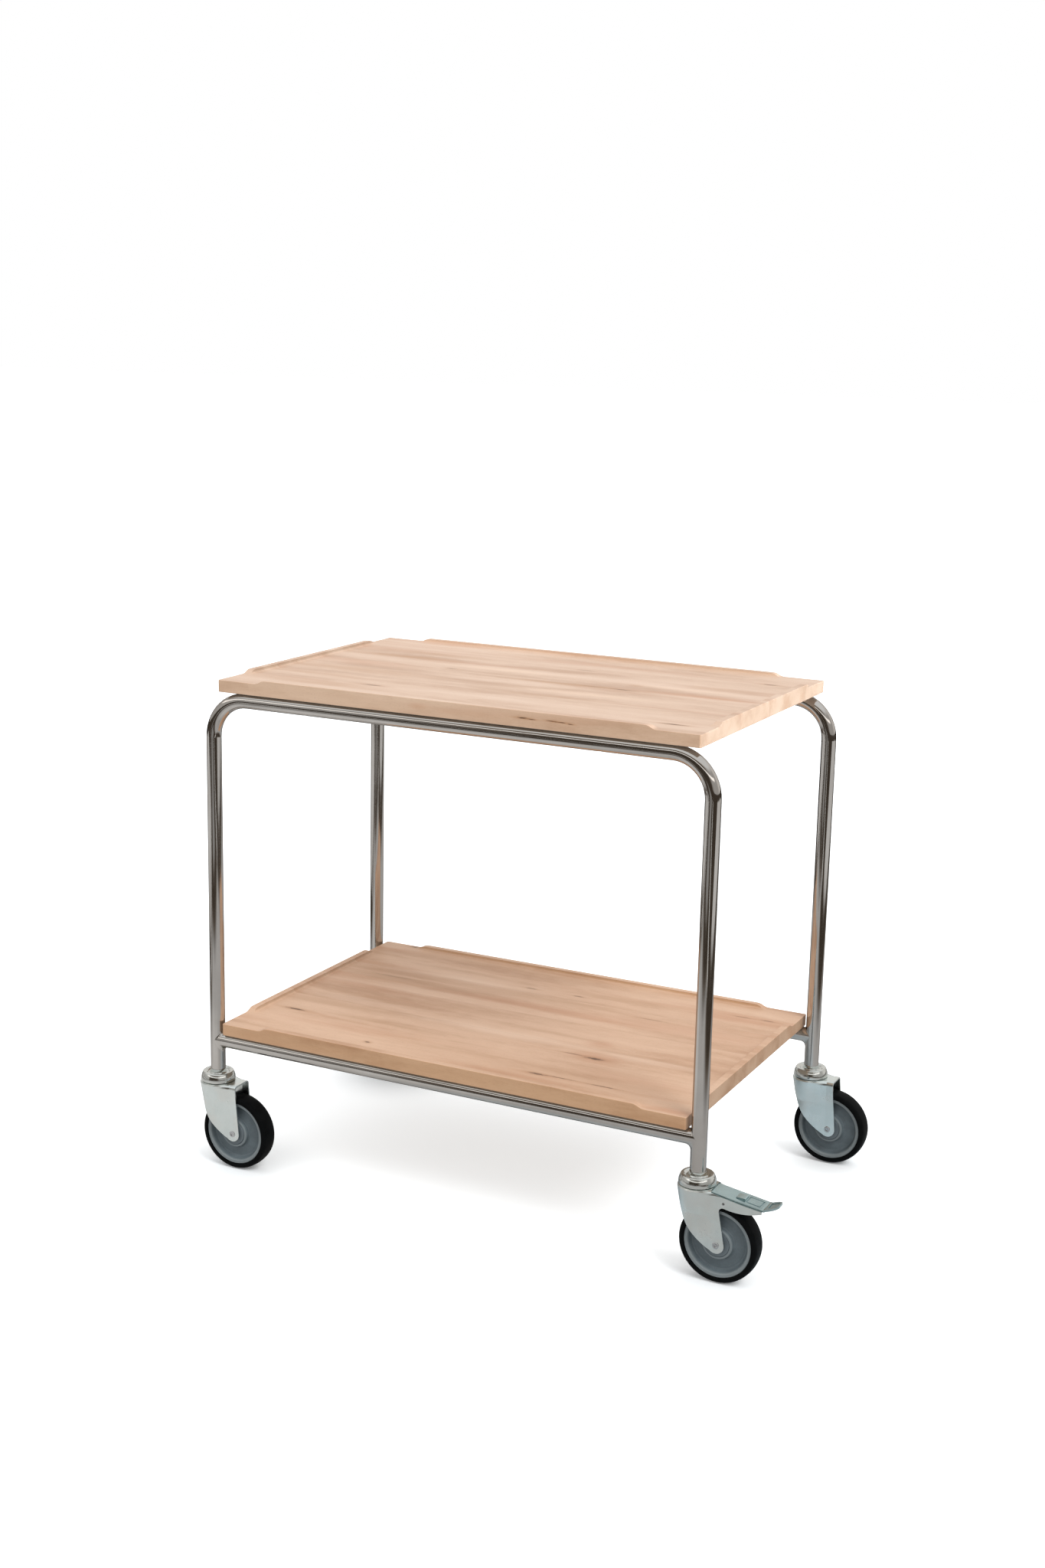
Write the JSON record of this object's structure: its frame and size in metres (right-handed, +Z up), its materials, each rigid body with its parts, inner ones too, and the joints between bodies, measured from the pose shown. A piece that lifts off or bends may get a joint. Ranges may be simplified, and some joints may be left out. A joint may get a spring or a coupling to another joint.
{
  "type": "serving trolley",
  "caption": "Serving trolley: two rimmed solid-wood trays carried between bent steel tube frames, rolling on swivel castors with foot brakes.",
  "frame": {"origin": "on the floor, midway between the four castor swivel axes", "axes": "+X along the trolley's length, the way the castors trail at rest; -Y is the front long side; +Z up"},
  "size_m": [1.046, 0.5858, 0.85],
  "materials": {
    "polished_tube": "polished bright tube",
    "beech": "clear satin lacquer on glued beech staves",
    "screw_steel": "zinc plated",
    "socket_plastic": "moulded",
    "bright_zinc": "bright zinc plated",
    "zinc_sheet": "zinc plated pressed sheet",
    "bearing_steel": "ground steel",
    "wheel_grey": "moulded grey plastic",
    "guard_grey": "moulded grey plastic",
    "tyre_rubber": "smooth black rubber",
    "shoe_rubber": "moulded rubber"
  },
  "bodies": {
    "frame": {"front_frame_tube": "polished_tube", "rear_frame_tube": "polished_tube", "front_lower_rail": "polished_tube", "rear_lower_rail": "polished_tube", "top_tray": "beech", "lower_tray": "beech", "top_tray_screws": "screw_steel", "lower_tray_screws": "screw_steel", "leg_sockets": "socket_plastic", "front_left_swivel_cap": "bright_zinc", "front_left_king_bolt": "bright_zinc", "front_right_swivel_cap": "bright_zinc", "front_right_king_bolt": "bright_zinc", "rear_left_swivel_cap": "bright_zinc", "rear_left_king_bolt": "bright_zinc", "rear_right_swivel_cap": "bright_zinc", "rear_right_king_bolt": "bright_zinc"},
    "front_left_swivel": {"front_left_fork": "zinc_sheet", "front_left_swivel_balls": "bearing_steel", "front_left_axle": "bright_zinc"},
    "front_left_wheel": {"front_left_wheel_hub": "wheel_grey", "front_left_tyre": "tyre_rubber", "front_left_hub_bearing": "bearing_steel", "front_left_thread_guards": "guard_grey"},
    "front_right_swivel": {"front_right_fork": "zinc_sheet", "front_right_swivel_balls": "bearing_steel", "front_right_axle": "bright_zinc", "front_right_brake_pin": "bearing_steel", "front_right_brake_spring": "bearing_steel"},
    "front_right_wheel": {"front_right_wheel_hub": "wheel_grey", "front_right_tyre": "tyre_rubber", "front_right_hub_bearing": "bearing_steel", "front_right_thread_guards": "guard_grey"},
    "front_right_pedal": {"front_right_brake_pedal": "zinc_sheet", "front_right_brake_shoe": "shoe_rubber"},
    "rear_left_swivel": {"rear_left_fork": "zinc_sheet", "rear_left_swivel_balls": "bearing_steel", "rear_left_axle": "bright_zinc", "rear_left_brake_pin": "bearing_steel", "rear_left_brake_spring": "bearing_steel"},
    "rear_left_wheel": {"rear_left_wheel_hub": "wheel_grey", "rear_left_tyre": "tyre_rubber", "rear_left_hub_bearing": "bearing_steel", "rear_left_thread_guards": "guard_grey"},
    "rear_left_pedal": {"rear_left_brake_pedal": "zinc_sheet", "rear_left_brake_shoe": "shoe_rubber"},
    "rear_right_swivel": {"rear_right_fork": "zinc_sheet", "rear_right_swivel_balls": "bearing_steel", "rear_right_axle": "bright_zinc"},
    "rear_right_wheel": {"rear_right_wheel_hub": "wheel_grey", "rear_right_tyre": "tyre_rubber", "rear_right_hub_bearing": "bearing_steel", "rear_right_thread_guards": "guard_grey"}
  },
  "joints": [
    {"name": "front_left_swivel_turn", "type": "hinge", "parent": "frame", "child": "front_left_swivel", "pos_m": [-0.44, -0.2625, 0.15], "axis": [0, 0, 1], "continuous": true},
    {"name": "front_left_wheel_spin", "type": "hinge", "parent": "front_left_swivel", "child": "front_left_wheel", "pos_m": [-0.3985, -0.2625, 0.0645], "axis": [0, 1, 0], "continuous": true},
    {"name": "front_right_swivel_turn", "type": "hinge", "parent": "frame", "child": "front_right_swivel", "pos_m": [0.44, -0.2625, 0.15], "axis": [0, 0, 1], "continuous": true},
    {"name": "front_right_wheel_spin", "type": "hinge", "parent": "front_right_swivel", "child": "front_right_wheel", "pos_m": [0.4815, -0.2625, 0.0645], "axis": [0, 1, 0], "continuous": true},
    {"name": "front_right_brake_press", "type": "hinge", "parent": "front_right_swivel", "child": "front_right_pedal", "pos_m": [0.491, -0.2625, 0.134], "axis": [0, 1, 0], "range_deg": [0, 12]},
    {"name": "rear_left_swivel_turn", "type": "hinge", "parent": "frame", "child": "rear_left_swivel", "pos_m": [-0.44, 0.2625, 0.15], "axis": [0, 0, 1], "continuous": true},
    {"name": "rear_left_wheel_spin", "type": "hinge", "parent": "rear_left_swivel", "child": "rear_left_wheel", "pos_m": [-0.3985, 0.2625, 0.0645], "axis": [0, 1, 0], "continuous": true},
    {"name": "rear_left_brake_press", "type": "hinge", "parent": "rear_left_swivel", "child": "rear_left_pedal", "pos_m": [-0.389, 0.2625, 0.134], "axis": [0, 1, 0], "range_deg": [0, 12]},
    {"name": "rear_right_swivel_turn", "type": "hinge", "parent": "frame", "child": "rear_right_swivel", "pos_m": [0.44, 0.2625, 0.15], "axis": [0, 0, 1], "continuous": true},
    {"name": "rear_right_wheel_spin", "type": "hinge", "parent": "rear_right_swivel", "child": "rear_right_wheel", "pos_m": [0.4815, 0.2625, 0.0645], "axis": [0, 1, 0], "continuous": true}
  ]
}
